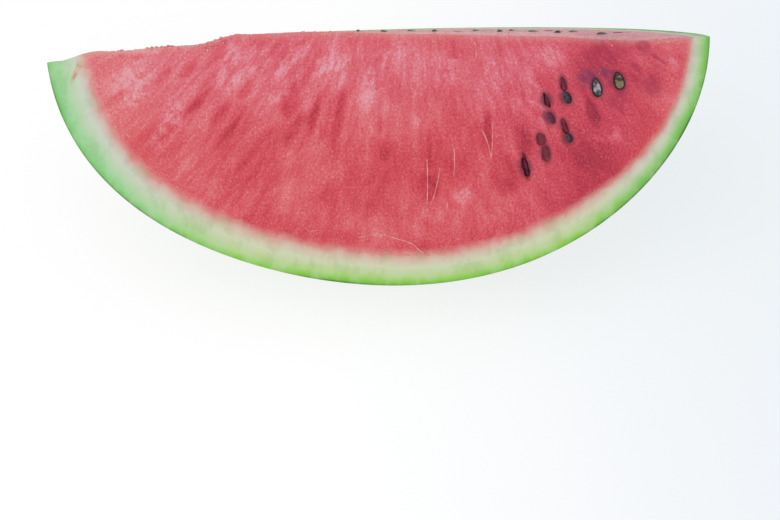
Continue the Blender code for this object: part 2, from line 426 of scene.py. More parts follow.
def baked(body, name):
    """A plain mesh object of what an object's modifiers make. The first object is removed."""
    bpy.context.view_layer.update()
    shown = body.evaluated_get(bpy.context.evaluated_depsgraph_get())
    mesh = bpy.data.meshes.new_from_object(shown)
    mesh.name = name
    if mesh.materials[0] is None:
        mesh.materials.pop(index=0)
    bpy.data.objects.remove(body)
    made = bpy.data.objects.new(name, mesh)
    bpy.context.scene.collection.objects.link(made)
    return made


def plain_object(name, mesh=None):
    body = bpy.data.objects.new(name, mesh or bpy.data.meshes.new(name))
    bpy.context.scene.collection.objects.link(body)
    return body


def column_place(web, u, left_end):
    """Turn along the melon's outline of each column, closer together where the seeds are."""
    turn = math.tau * CROWDED_AT
    wave = web.maths("SINE", u * math.tau - turn) + math.sin(turn)
    return (u - wave * CROWDING) * (math.pi - left_end) + left_end


def row_share(web, w):
    turn = math.tau * ROWS_CROWDED_AT
    wave = web.maths("SINE", w * math.tau - turn) + math.sin(turn)
    return w - wave * ROW_CROWDING


def left_end_turn():
    """Turn along the outline at which the core edge runs out through the skin."""
    low, high = 0.02, 0.4
    for _ in range(50):
        turn = (low + high) / 2
        u = -math.cos(turn)
        radius = HALF_WIDTH * math.sin(turn) * fullness(u)
        if radius < eased(CORE_EDGE, HALF_LENGTH * u):
            low = turn
        else:
            high = turn
    return high


def relief(web, x, depth, side):
    """How far a cut face lies below the knife's plane: waves, streaks and grain."""
    w = fanned(x, depth)
    wave = web.noise(web.point(w * 0.030, depth * 0.022, side), PER_MM, 2.0, 0.5)
    grain = web.noise(web.point(w * 0.42, depth * 0.30, side + 0.003), PER_MM, 3.0, 0.7)
    sunk = streaks(web, x, depth, side) * STREAK_SINK
    return sunk + wave * WAVE_HEIGHT + (grain - 0.5) * (2 * GRAIN_HEIGHT)


def crumble(web, x, depth):
    """How ragged the core edge is: most on the left, where it broke, and at the worn right."""
    rough = web.noise(web.point(x * 0.26, depth * 0.26, 0.009), PER_MM, 4.0, 0.75)
    left = web.ramp(x, -0.045, -0.078) * web.ramp(x, -0.128, -0.112) * 5.0
    right = web.ramp(x, 0.118, 0.130) * 1.8
    return ((rough - 0.46) * (left + right + 1.0) + 0.26) * MM


def wedge_tree():
    """The wedge as one closed skin: down the first cut, round the rind and up the second."""
    web, given = new_shape("wedge shape", (
        ("Columns", "NodeSocketInt", COLUMNS),
        ("Front Rows", "NodeSocketInt", FRONT_ROWS),
        ("Skin Rows", "NodeSocketInt", SKIN_ROWS),
        ("Back Rows", "NodeSocketInt", BACK_ROWS),
        ("Flesh", "NodeSocketMaterial", None),
        ("Skin", "NodeSocketMaterial", None),
    ))
    rows = given["Front Rows"] + given["Skin Rows"] + given["Back Rows"]
    front_end = given["Front Rows"] / rows
    skin_end = 1 - given["Back Rows"] / rows
    grid = web.add("GeometryNodeMeshGrid", values={
        "Size X": 1.0, "Size Y": 1.0,
        "Vertices X": given["Columns"] + 1, "Vertices Y": rows + 1})
    gx, gy, _ = web.split(web.add("GeometryNodeInputPosition"))
    v = gy + 0.5
    turn = column_place(web, gx + 0.5, left_end_turn())
    u = -web.maths("COSINE", turn)
    x = u * (HALF_LENGTH - SKIN_ALLOWANCE)
    radius = web.maths("SINE", turn) * fullness(u) * (HALF_WIDTH - SKIN_ALLOWANCE)

    knife = eased_wire(web, KNIFE_LINE, x)
    broken = eased_wire(web, CORE_EDGE, x) - knife
    lean = LEAN - TWIST * x
    room = web.ramp(radius, *RUNS_OUT)

    def surface(q):
        """Depth of the second cut, with the ragged edge fading out down the cut."""
        fade = 1 - web.held(q / CRUMBLED_DEPTH)
        ragged = crumble(web, x, q) * web.ramp(q, 0.0, 5 * MM, 1.0, 0.0) * room
        return knife + broken * fade * fade + lean * q + ragged

    core = web.most(surface(0.0), radius * DEEPEST_CORE)
    reach = web.root(radius * radius - core * core)
    inside = gx > HAIR - 0.5
    flat = web.most(surface(reach) - lean * reach, radius * DEEPEST_CORE)
    bend = lean * lean + 1
    corner_q = (web.root(flat * flat * lean * lean + bend * (radius * radius - flat * flat))
                - flat * lean) / bend * inside
    corner_p = (flat + lean * corner_q - core) * inside + core
    radius = (radius - core) * inside + core
    corner_turn = web.maths("ARCTAN2", corner_q, corner_p)

    w = row_share(web, web.held(v / front_end))
    front_p = core + (radius - core) * w
    edge_gap = web.least(front_p - core, radius - front_p)
    front_q = relief(web, x, front_p, 0.0) * web.ramp(edge_gap, 0.0, FLAT_EDGE) * room

    round_share = web.held((v - front_end) / (skin_end - front_end))
    angle = corner_turn * round_share
    skin_p = radius * web.maths("COSINE", angle)
    skin_q = radius * web.maths("SINE", angle)

    w = web.held((1 - v) / (1 - skin_end))
    back_q = corner_q * w
    back_rest = surface(back_q) + (corner_p - surface(corner_q)) * w
    back_gap = web.least(back_q, corner_q - back_q)
    sunk = relief(web, x, back_q, BACK_CUT_SHIFT) * web.ramp(back_gap, 0.0, FLAT_EDGE) * room
    back_p = back_rest + (core - surface(0.0)) * (1 - w) + sunk

    on_front = v < front_end + HAIR
    on_back = v > skin_end - HAIR
    on_skin = 1 - on_front - on_back
    p = front_p * on_front + skin_p * on_skin + back_p * on_back
    q = front_q * on_front + skin_q * on_skin + back_q * on_back
    height = web.most((p + q) * -DIAGONAL + AXIS.z, 0.0)
    place = web.point(x + AXIS.x, (q - p) * DIAGONAL + AXIS.y, height)

    stored = web.add("GeometryNodeStoreNamedAttribute", {"data_type": "FLOAT"}, {
        "Geometry": grid, "Name": "row", "Value": v})
    shaped = web.add("GeometryNodeSetPosition", values={"Geometry": stored, "Position": place})
    row = web.stored("row")
    cut_face = web.most(row < front_end, row > skin_end)
    sorted_faces = web.add("GeometryNodeStoreNamedAttribute", {
        "data_type": "FLOAT", "domain": "FACE"}, {
        "Geometry": shaped, "Name": "cut", "Value": cut_face})
    closed = web.add("GeometryNodeMergeByDistance", values={
        "Geometry": sorted_faces, "Distance": 1e-6})
    outward = web.add("GeometryNodeFlipFaces", values={"Mesh": closed})
    skinned = finish_shape(web, outward, given["Skin"])
    return close_shape(web, web.add("GeometryNodeSetMaterial", values={
        "Geometry": skinned, "Selection": web.stored("cut") > 0.5,
        "Material": given["Flesh"]}))


# ---------------------------------------------------------------- seeds and pockets

def cut_frame(x, depth, second):
    """A point on a cut, with the directions along the melon, down the cut and out of it."""
    along = Vector((1, 0, 0))
    if second:
        step = 1 * MM
        point = melon_point(x, second_cut_depth(x, depth), depth)
        lower = melon_point(x, second_cut_depth(x, depth + step), depth + step)
        further = melon_point(x + step, second_cut_depth(x + step, depth), depth)
        down = (lower - point).normalized()
        out = down.cross((further - point).normalized())
        out = out if out.z > 0 else -out
        return point, along, down, out
    down = Vector((0, -DIAGONAL, -DIAGONAL))
    return melon_point(x, depth, 0), along, down, Vector((0, -DIAGONAL, DIAGONAL))


def turned(point, length_way, out):
    """Matrix of a drop that lies at a point: Z its length and Y its flat side."""
    width_way = out.cross(length_way).normalized()
    out = length_way.cross(width_way)
    axes = Matrix((width_way, out, length_way)).transposed().to_4x4()
    return Matrix.Translation(point) @ axes


def seed_shape(length, width, thickness, rounds=SEED_ROUNDS, ragged=0.0):
    """A seed about the origin: a flattened drop, pointed at -Z, with a rim round its flat.

    A ragged one has lumps that high, which depend on its size.
    """
    bm = bmesh.new()
    bmesh.ops.create_uvsphere(bm, u_segments=rounds[0], v_segments=rounds[1], radius=1.0)
    rims = bm.verts.layers.float.new("rim")
    for vert in bm.verts:
        across, flat, along = vert.co
        vert[rims] = math.hypot(across, along)
        narrowing = 1 + SEED_POINT * along * (0.5 + 0.5 * abs(along))
        rim = 0.86 + 0.14 * min(1.0, (across * across + along * along) * 1.25)
        shoulder = 1 - 0.10 * math.exp(-((along + 0.80) / 0.10) ** 2)
        vert.co.x = across * width / 2 * narrowing * shoulder
        vert.co.y = flat * thickness / 2 * narrowing * rim
        vert.co.z = along * length / 2
        if ragged:
            lump = noise.noise(vert.co * 420 + Vector((length, width, 0)) * 9000)
            vert.co *= 1 + lump * ragged / (width / 2)
    return bm


def seed_nodes():
    return sorted(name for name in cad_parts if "seed" in name)


def seed_measure(node):
    """Middle, length way, way out and sizes of a CAD seed, from how its points spread."""
    points = np.array([vert.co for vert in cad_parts[node].data.vertices])
    points = np.unique(np.round(points, 7), axis=0)
    middle = points.mean(0)
    _, axes = np.linalg.eigh(np.cov((points - middle).T))
    spread = (points - middle) @ axes
    low, high = spread.min(0), spread.max(0)
    middle = middle + axes @ ((low + high) / 2)
    thickness, width, length = high - low
    length_way = Vector(axes[:, 2])
    out = Vector(axes[:, 0])
    length_way = length_way if length_way.z < 0 else -length_way
    out = out if out.z > 0 else -out
    return Vector(middle), length_way, out, (length, width, thickness)


def mesh_object(name, bm, place, *finishes):
    bmesh.ops.transform(bm, matrix=place, verts=bm.verts)
    bmesh.ops.recalc_face_normals(bm, faces=bm.faces)
    mesh = bpy.data.meshes.new(name)
    bm.to_mesh(mesh)
    bm.free()
    for finish in finishes:
        mesh.materials.append(finish)
    mesh.shade_smooth()
    return plain_object(name, mesh)


def slice_open(bm, point, out):
    """Cuts a seed off flush, and leaves its coat as a rim round the kernel."""
    everything = bm.verts[:] + bm.edges[:] + bm.faces[:]
    cut = bmesh.ops.bisect_plane(
        bm, geom=everything, dist=1e-7, plane_co=point, plane_no=out, clear_outer=True)
    rim = [item for item in cut["geom_cut"] if isinstance(item, bmesh.types.BMEdge)]
    bmesh.ops.edgeloop_fill(bm, edges=rim)
    cap = max(bm.faces, key=lambda face: len(face.verts))
    bmesh.ops.inset_individual(bm, faces=[cap], thickness=COAT_WIDTH, depth=0.0)
    bmesh.ops.inset_individual(bm, faces=[cap], thickness=COAT_STEP[0], depth=COAT_STEP[1])
    cap.material_index = 1
    poked = bmesh.ops.poke(bm, faces=[cap])
    for face in poked["faces"]:
        face.material_index = 1


def make_seeds():
    """Fine seeds where the CAD seeds lie. Returns them with the cutters of their pockets."""
    seeds, cutters = [], []
    # The last colour of each coat is a painted highlight, laid on the middle of the seed's flat
    # sides
    black = coat_finish("black seed coat", (14, 8, 14), (46, 16, 32), (72, 66, 82))
    red = coat_finish("red-brown seed coat", (46, 8, 26), (96, 18, 44), (118, 48, 78))
    kernels = {
        "front_seed_4": kernel_finish("grey kernel", (72, 64, 70), (166, 160, 166)),
        "front_seed_5": kernel_finish("olive kernel", (56, 44, 34), (134, 112, 80)),
    }
    _, _, _, face_out = cut_frame(0, 0, False)
    for node in seed_nodes():
        middle, length_way, out, sizes = seed_measure(node)
        sliced = node in kernels
        if sliced:
            x, p, _ = melon_place(middle)
            middle = melon_point(x, p, SLICED_MIDDLE)
            sizes = (sizes[0], sizes[1], 2 * sizes[2] - SLICED_TRIM)
        place = turned(middle, length_way, out)
        room = [size + 2 * POCKET_ROOM for size in sizes]
        pocket = seed_shape(*room, POCKET_ROUNDS)
        cutters.append(mesh_object(node + "_pocket", pocket, place))
        bm = seed_shape(*sizes)
        if sliced:
            to_seed = place.inverted()
            level = melon_point(0, 0, SLICE_SINK)
            slice_open(bm, to_seed @ level, to_seed.to_3x3() @ face_out)
        finishes = [red if node in RED_SEEDS else black]
        if sliced:
            finishes.append(kernels[node])
        seeds.append(mesh_object("fine_" + node, bm, place, *finishes))
        seeds[-1].data.set_sharp_from_angle(angle=SEED_CREASE)
    return seeds, cutters


def make_hollow_cutters():
    """Cutters of the pockets that have lost their seeds."""
    cutters = []
    for second, hollows in ((False, FRONT_HOLLOWS), (True, BACK_HOLLOWS)):
        for number, (x, depth, lean, length, width, sink) in enumerate(hollows):
            point, along, down, out = cut_frame(x * MM, depth * MM, second)
            lean = math.radians(lean)
            length_way = down * math.cos(lean) + along * math.sin(lean)
            place = turned(point - out * sink * MM, length_way, out)
            bm = seed_shape(
                length * MM, width * MM, HOLLOW_THICKNESS, ragged=LUMP_HEIGHT)
            cutters.append(mesh_object(f"hollow_{second}_{number}", bm, place))
    return cutters


# ---------------------------------------------------------------- marks on the flesh

def spots(x, depth, marks):
    """For each point, 1 at the middle of an oval mark and easing to 0 at its rim."""
    shade = np.zeros(len(x))
    for x0, depth0, lean, length, width in marks:
        lean = math.radians(lean)
        dx = x / MM - x0
        dd = depth / MM - depth0
        along = (dd * math.cos(lean) + dx * math.sin(lean)) / (length / 2)
        across = (dx * math.cos(lean) - dd * math.sin(lean)) / (width / 2)
        level = np.clip((1 - np.hypot(along, across)) / MARK_SOFTNESS, 0, 1)
        shade = np.maximum(shade, level * level * (3 - 2 * level))
    return shade


def seed_marks(second):
    """Oval marks round the seeds and hollows of one cut: painted shade in the recesses and a dark
    red stain in the flesh round them.
    """
    marks = []
    for node in seed_nodes():
        if node.startswith("back") != second:
            continue
        middle, length_way, _, sizes = seed_measure(node)
        x, p, q = melon_place(middle)
        _, along, down, _ = cut_frame(x, q if second else p, second)
        lean = math.degrees(math.atan2(length_way.dot(along), length_way.dot(down)))
        depth = q if second else p
        length, width = (size / MM + halo for size, halo in zip(sizes, SEED_HALO))
        marks.append((x / MM, depth / MM, lean, length, width))
    for x, depth, lean, length, width, _ in BACK_HOLLOWS if second else FRONT_HOLLOWS:
        marks.append((x, depth, lean, length + HOLLOW_HALO[0], width + HOLLOW_HALO[1]))
    return marks


# Marks on the first cut: x, depth, lean, length and width, in millimetres and degrees
STREAK_MARKS = (                # dark red streaks
    (-96.5, 17.0, -46, 18, 4.5),
    (-85.6, 14.5, -50, 15, 5.0),
    (-82.5, 29.9, -49, 24, 6.0),
    (-71.6, 34.8, -37, 19, 5.5),
    (-59.6, 23.0, -36, 14, 5.0),
    (-68.0, 43.5, -39, 24, 6.0),
    (-50.0, 43.5, -43, 21, 6.0),
    (-38.3, 42.0, -34, 24, 6.5),
    (-40.2, 31.0, -20, 16, 11.0),
    (-38.2, 24.7, -12, 16, 4.5),
    (-28.8, 35.0, -16, 27, 5.0),
    (-17.7, 36.0, -11, 44, 6.0),
    (-60.0, 56.0, -38, 18, 5.0),
    (1.1, 39.0, -3, 11, 4.0),
    (3.4, 52.0, -3, 14, 7.0),
    (23.3, 50.0, 0, 26, 3.4),
    (22.9, 67.9, -2, 20, 14.0),
    (50.0, 40.0, 2, 30, 5.0),
    (58.0, 62.0, 8, 26, 18.0),
    (66.0, 27.0, 7, 16, 1.8),
    (66.0, 46.0, 12, 26, 12.0),
    (97.5, 34.0, 20, 20, 8.0),
)
FROST_MARKS = (                 # pale frosty patches
    (68.0, 25.0, 8, 32, 15),
    (-19.0, 9.0, 0, 24, 18),
    (-35.0, 9.0, 0, 26, 18),
    (-66.0, 8.0, 0, 20, 12),
    (-97.0, 44.0, -25, 22, 14),
    (-112.0, 18.0, 0, 22, 30),
    (-110.0, 27.0, 20, 12, 20),
    (-106.0, 5.2, 90, 50, 6),
    (-91.5, 36.0, -10, 22, 16),
    (-67.6, 17.5, -20, 18, 22),
    (-54.0, 10.0, -30, 18, 18),
    (-42.7, 14.5, -10, 26, 10),
    (-44.5, 26.0, -12, 12, 14),
    (-32.0, 28.0, -14, 16, 10),
    (-23.7, 14.0, -10, 22, 20),
    (-14.7, 16.0, -8, 26, 12),
    (-4.0, 22.0, -6, 30, 14),
    (16.1, 46.0, 25, 12, 6),
    (4.0, 10.0, 0, 16, 22),
    (30.0, 14.0, 0, 20, 26),
    (56.0, 16.0, 4, 24, 20),
    (77.9, 9.0, 10, 16, 22),
    (74.0, 34.0, 10, 18, 10),
    (38.3, 71.1, 0, 14, 12),
    (110.0, 3.0, 20, 8, 12),
    (120.3, 9.0, 20, 12, 9),
    (132.0, 9.0, 20, 16, 9),
    (107.1, 42.9, 30, 12, 10),
    (99.4, 46.6, 30, 10, 9),
)
GLOW_MARKS = (                  # broad lighter areas
    (-19.0, 10.0, 0, 36, 30),
    (-35.0, 59.0, -12, 50, 34),
    (-82.0, 48.0, -25, 40, 26),
    (-3.0, 33.0, 0, 34, 28),
    (-50.0, 36.0, -15, 26, 18),
)
STAIN_MARKS = (                 # crimson stains
    (102.2, 8.0, 20, 18, 34),
    (124.0, 21.2, 20, 16, 14),
    (96.1, 33.9, 30, 7, 4),
    (109.9, 32.1, 30, 7, 1.6),
    (120.5, 4.0, 20, 10, 8),
    (108.0, 26.0, 20, 18, 16),
    (119.6, 4.6, 10, 12, 9),
    (116.8, 16.0, 15, 16, 8),
    (119.5, 20.5, 40, 15, 9),
    (126.2, 10.9, 60, 16, 12),
    (109.9, 32.1, 30, 9, 3.0),
)
SMEAR_MARKS = (                 # violet smears beside the sliced seeds
    (94.6, 18.4, 20, 13, 12),
    (97.0, 17.6, 60, 9, 5),
    (103.6, 16.0, 70, 15, 7),
    (105.2, 18.0, 20, 10, 4),
)
SCAR_MARKS = (                  # a healed scar in the rind
    (-136.3, 15.6, -26, 15, 3.4),
    (-134.4, 12.2, -28, 6, 5.0),
)
PALE_EDGE_AND_HIGHLIGHT_BAND = 3.2 * MM            # the paler band under the core edge: partly paler broken flesh, partly a painted highlight where the edge catches the light
MARK_SOFTNESS = 0.65            # how much of a mark's radius its easing takes
SEED_HALO = (4.4, 4.2)          # how much longer and wider the mark round a seed is
HOLLOW_HALO = (3.6, 3.2)


def paint_marks(mesh):
    """Stores on the wedge how marked each point of its cuts is, for flesh and grains."""
    places = np.empty(len(mesh.vertices) * 3)
    mesh.vertices.foreach_get("co", places)
    x, y, z = (places.reshape(-1, 3) - np.array(AXIS)).T
    p = (-z - y) * DIAGONAL
    q = (-z + y) * DIAGONAL
    second = q > p - second_cut_depth(x, q)
    first = ~second
    core = eased(CORE_EDGE, x)
    pockets = np.where(first, spots(x, p, seed_marks(False)), spots(x, q, seed_marks(True)))
    shades = {
        "streak": spots(x, p, STREAK_MARKS) * first,
        "frost": spots(x, p, FROST_MARKS) * first,
        "glow": spots(x, p, GLOW_MARKS) * first,
        "stain": spots(x, p, STAIN_MARKS) * first,
        "smear": spots(x, p, SMEAR_MARKS) * first,
        "scar": spots(x, p, SCAR_MARKS) * first,
        # edge: paler broken flesh and a painted highlight along the core edge
        "edge": np.clip(1 - (p - core) / PALE_EDGE_AND_HIGHLIGHT_BAND, 0, 1) * first,
        "pocket": pockets,
        "second": second,
    }
    for name, shade in shades.items():
        layer = mesh.attributes.new(name, "FLOAT", "POINT")
        layer.data.foreach_set("value", shade.astype(np.float32))


# ---------------------------------------------------------------- materials

def new_finish(name, roughness, **constants):
    """A material whose Principled shader has these constant values on its own sockets."""
    finish = bpy.data.materials.new(name)
    finish.use_nodes = True
    web = Web(finish.node_tree)
    shader = finish.node_tree.nodes["Principled BSDF"]
    shader.inputs["Roughness"].default_value = roughness
    for title, value in constants.items():
        shader.inputs[title.replace("_", " ")].default_value = value
    return finish, web, shader


def vary(web, shader, **wires):
    """Feeds what varies over a finish to its shader."""
    for title, wire in wires.items():
        web.feed(shader.inputs[title.replace("_", " ")], wire)


def skin_distance(web, x, p, q):
    """How far the point lies under the skin."""
    u = x / HALF_LENGTH
    rho = web.root(p * p + q * q)
    width = fullness(u) * HALF_WIDTH
    share = web.root(u * u + (rho / width) * (rho / width))
    slope = web.root((x * x) / HALF_LENGTH ** 4 + (rho * rho) / (width * width * width * width))
    return (1 - share) * share / slope


def rind_colours(web, x, under):
    """Colours from the skin inwards: green, white and the blush before the flesh. The bright lime
    green of the middle stretch is partly painted glow of light shining up through the rind from
    below.
    """
    lime_and_painted_glow = web.stops(under, (
        (0.00, (64, 116, 28)), (0.05, (120, 190, 44)), (0.12, (140, 204, 76)),
        (0.26, (176, 212, 128)), (0.44, (196, 211, 158)), (0.60, (208, 212, 178)),
        (0.80, (212, 190, 168)), (1.00, (216, 150, 142))))
    cool = web.stops(under, (
        (0.00, (60, 112, 50)), (0.06, (128, 200, 112)), (0.16, (150, 210, 144)),
        (0.32, (166, 212, 158)), (0.50, (188, 210, 176)), (0.68, (202, 210, 192)),
        (0.86, (212, 184, 176)), (1.00, (218, 152, 150))))
    grey = web.stops(under, (
        (0.00, (30, 80, 28)), (0.08, (106, 182, 60)), (0.22, (128, 194, 92)),
        (0.42, (164, 204, 138)), (0.60, (196, 206, 176)), (0.76, (206, 200, 184)),
        (0.90, (206, 174, 162)), (1.00, (212, 142, 132))))
    # Cooler green at the left end, greyer at the right; the middle's brighter lime is partly
    # painted backlight glow
    left = web.blend(web.ramp(x, -0.125, -0.055), cool, lime_and_painted_glow)
    return web.blend(web.ramp(x, 0.085, 0.125), left, grey)


# Flesh from its darkest to its frostiest, by tone: coral low down, rose near the core
CORAL = (
    (0.0, (128, 12, 34)), (0.30, (198, 46, 62)), (0.50, (214, 74, 84)),
    (0.70, (222, 106, 110)), (1.0, (234, 160, 158)),
)
ROSE = (
    (0.0, (104, 10, 42)), (0.30, (188, 42, 70)), (0.50, (212, 76, 94)),
    (0.70, (222, 110, 126)), (1.0, (228, 164, 176)),
)


def flesh_colours(web, x, depth, side):
    """The flesh: its colour, its fine grain, its specks, which lighten the colour as painted
    glints, and the patches behind it.
    """
    w = fanned(x, depth)
    cloud = web.noise(web.point(w * 0.040, depth * 0.030, side + 0.02), PER_MM, 3.0, 0.6)
    strand = web.noise(web.point(w * 0.36, depth * 0.075, side + 0.01), PER_MM, 3.0, 0.65)
    grain = web.noise(web.point(x * 0.95, depth * 0.85, side), PER_MM, 3.0, 0.75)
    fan = web.ramp(x, -0.095, -0.060)
    patch_place = web.point((w - x) * fan + x, depth * (0.95 - fan * 0.45), side + 0.18)
    patch = web.noise(patch_place, 230, 4.0, 0.7)
    cells = web.cells(web.point(x * 0.90, depth * 0.85, side + 0.5), PER_MM, "F1")
    speck_and_painted_glint = web.ramp(cells, 0.10, 0.34, 1.0, 0.0) * web.ramp(strand + grain, 0.90, 1.12)
    frost = web.most(web.painted("frost"), web.ramp(cloud, 0.54, 0.72) * 0.55)
    frost = frost * web.ramp(patch, 0.42, 0.60)
    line = streaks(web, x, depth, side) * 0.55
    mark = web.painted("streak") * web.ramp(strand + patch, 0.80, 1.15, 0.35, 1.0)

    region = web.ramp(x, -0.060, -0.110, 0.0, 0.14) - web.ramp(x, 0.074, 0.100, 0.0, 0.17)
    region = region + web.ramp(x, 0.105, 0.135, 0.0, 0.16)
    region = region + web.ramp(depth, 60 * MM, 15 * MM, 0.0, 0.10)
    drawn_out = web.ramp(x, 0.060, 0.100, 0.52, 0.16) * web.ramp(x, -0.115, -0.085, 0.35, 1.0)
    tone = region + 0.50 + (cloud - 0.5) * 0.62 + (strand - 0.5) * drawn_out
    # The specks lighten the tone here: painted glints of light, on top of their real bump and
    # gloss
    tone = tone + (grain - 0.5) * 0.85 + speck_and_painted_glint * 0.24 + frost * 0.20
    tone = tone - line * 0.20 - web.held(mark) * 0.25 + web.painted("glow") * 0.13
    rosy = web.ramp(depth, 62 * MM, 12 * MM, 0.12, 0.60) + web.ramp(x, 0.025, 0.085, 0.0, 0.5)
    rosy = rosy - web.ramp(x, 0.105, 0.130, 0.0, 0.5)
    rosy = rosy + frost * 0.34 - side * 3 - web.ramp(x, -0.085, -0.125, 0.0, 0.35)
    colour = web.blend(web.held(rosy), web.stops(tone, CORAL), web.stops(tone, ROSE))
    return colour, grain, speck_and_painted_glint, patch


def flesh_finish():
    finish, web, shader = new_finish(
        "melon flesh and rind", 0.42, Subsurface_Weight=0.12,
        Subsurface_Radius=(1.0, 0.35, 0.25), Subsurface_Scale=3 * MM,
        Coat_Roughness=0.16, Specular_IOR_Level=0.30)
    place = web.object_place()
    x, p, q = melon_wires(web, place)
    second = web.painted("second") > 0.5
    depth = p + (q - p) * second
    side = second * BACK_CUT_SHIFT

    ragged = web.noise(web.point(x * 0.11, depth * 0.11, side), PER_MM, 3.0, 0.6)
    soft = web.noise(place, 22, 2.0, 0.5)
    thickness = (web.ramp(x, -0.142, -0.112, 19.2 * MM, 15.5 * MM, smooth=False)
                 - web.ramp(x, -0.060, 0.020, 0.0, 1.6 * MM, smooth=False)
                 - web.ramp(x, 0.070, 0.150, 0.0, 5.4 * MM))
    gap = skin_distance(web, x, p, q) + (soft - 0.5) * 3.0 * MM
    under = gap / thickness + (ragged - 0.5) * web.ramp(gap, 4 * MM, 12 * MM, 0.0, 0.34)
    flesh_share = web.ramp(under, 0.90, 1.26)

    body, grain, speck_and_painted_glint, patch = flesh_colours(web, x, depth, side)
    # A paler band under the core edge: partly paler broken flesh, partly a painted highlight
    # where the edge catches the light
    pale = web.painted("edge") * web.ramp(x, -0.10, -0.055, 0.75, 0.42)
    body = web.blend(pale, body, dye(222, 166, 152))
    torn = web.ramp(patch, 0.36, 0.58)
    body = web.blend(web.painted("stain") * torn * 0.70, body, dye(168, 28, 66))
    body = web.blend(web.painted("smear") * torn * 0.76, body, dye(104, 32, 80))
    # Pocket marks: painted shade darkening the seed pockets and hollows, and a real dark red
    # stain in the flesh round them
    body = web.blend(web.painted("pocket") * 0.82, body, dye(96, 4, 38))
    rind = rind_colours(web, x, under)
    blotch = web.noise(web.point(x * 0.13, depth * 0.09, side + 0.3), PER_MM, 3.0, 0.6)
    rind = web.blend(web.ramp(blotch, 0.44, 0.70) * 0.30, rind, dye(206, 214, 186))
    rind = web.blend(web.ramp(blotch, 0.52, 0.34) * 0.22, rind, dye(120, 176, 90))
    scar = web.painted("scar")
    rind = web.blend(web.ramp(scar, 0.0, 0.7) * 0.50, rind, dye(212, 176, 140))
    rind = web.blend(web.ramp(scar, 0.45, 1.0) * torn * 0.60, rind, dye(176, 112, 70))
    colour = web.blend(flesh_share, rind, body)

    height = (grain * 1.6 + speck_and_painted_glint * 0.8) * (flesh_share * 0.85 + 0.15) + blotch * 0.3
    wet = flesh_share * (second * 0.26 + 0.10) + web.painted("pocket") * 0.12
    vary(web, shader, Base_Color=colour, Normal=web.bump(0.50, 0.30 * MM, height),
         Roughness=0.48 - speck_and_painted_glint * 0.20 + (grain - 0.5) * 0.4, Coat_Weight=wet)
    return finish


def skin_finish():
    """Skin: dark ragged stripes from end to end on a paler mottled green."""
    finish, web, shader = new_finish(
        "melon skin", 0.34, Specular_IOR_Level=0.32, Coat_Roughness=0.22)
    place = web.object_place()
    x, p, q = melon_wires(web, place)
    angle = web.maths("ARCTAN2", q, p)
    wander = web.noise(web.point(x * 30, angle * 1.1, 0.3), 1.0, 3.0, 0.55) - 0.5
    jag = web.noise(web.point(x * 190, angle * 7.0, 0.6), 1.0, 5.0, 0.75) - 0.5
    tooth = web.noise(web.point(x * 420, angle * 5.0, 0.9), 1.0, 4.0, 0.7) - 0.5
    stripe = web.maths("COSINE", angle * STRIPE_TURNS + wander * 2.2 + jag * 1.6 + 0.6)
    dark = web.ramp(stripe + jag * 1.2 + tooth * 1.8, 0.10, 0.42)
    fine = web.noise(place, 260, 5.0, 0.7, 0.4)
    broad = web.noise(place, 38, 2.0, 0.5)
    net = web.point(x * 95 + jag * 1.2, angle * 8.0 + tooth, 0.1)
    vein = web.cells(net, 1.0, "DISTANCE_TO_EDGE")
    pale = web.blend(fine, dye(112, 156, 66), dye(168, 196, 108))
    pale = web.blend(web.ramp(broad, 0.35, 0.65) * 0.5, pale, dye(140, 184, 88))
    pale = web.blend(web.ramp(fine, 0.50, 0.62) * 0.8, pale, dye(78, 126, 50))
    pale = web.blend(web.ramp(vein, 0.0, 0.10, 0.55, 0.0), pale, dye(62, 110, 44))
    deep = web.blend(web.ramp(fine, 0.36, 0.62), dye(18, 50, 22), dye(38, 80, 34))
    deep = web.blend(web.ramp(jag, 0.02, 0.16) * 0.5, deep, dye(52, 98, 42))
    colour = web.blend(dark, pale, deep)
    around = web.root(p * p + q * q)
    scar = web.ramp(around + fine * 2.5 * MM, 3.0 * MM, 6.5 * MM, 1.0, 0.0)
    colour = web.blend(scar, colour, dye(126, 98, 64))
    bump = web.bump(0.25, 0.2 * MM, fine + dark * 0.3 + vein)
    vary(web, shader, Base_Color=colour, Normal=bump,
         Roughness=0.36 + fine * 0.20, Coat_Weight=0.04 + dark * 0.05)
    return finish


def coat_finish(name, dark, rim, light):
    """Seed coat: a greyish painted highlight in the middle, redder at its rim, with darker blots
    and a dull gloss.
    """
    finish, web, shader = new_finish(
        name, 0.3, Coat_Roughness=0.12, Specular_IOR_Level=0.24)
    place = web.object_place()
    mottle = web.noise(place, 420, 4.0, 0.65, 0.5)
    fine = web.noise(place, 2600, 2.0, 0.6)
    # Painted highlight: the light colour in the middle of each flat side, fading to the rim
    # colour
    middle = web.ramp(web.painted("rim") + (mottle - 0.5) * 0.9, 0.30, 0.92, 1.0, 0.0)
    colour = web.blend(middle, dye(*rim), dye(*light))
    colour = web.blend(web.ramp(mottle, 0.58, 0.42) * 0.85, colour, dye(*dark))
    colour = web.blend(web.ramp(fine, 0.60, 0.78) * 0.35, colour, dye(104, 96, 108))
    bump = web.bump(0.3, 0.08 * MM, mottle + fine * 0.4)
    vary(web, shader, Base_Color=colour, Normal=bump,
         Roughness=0.26 + mottle * 0.3, Coat_Weight=mottle * 0.16)
    return finish


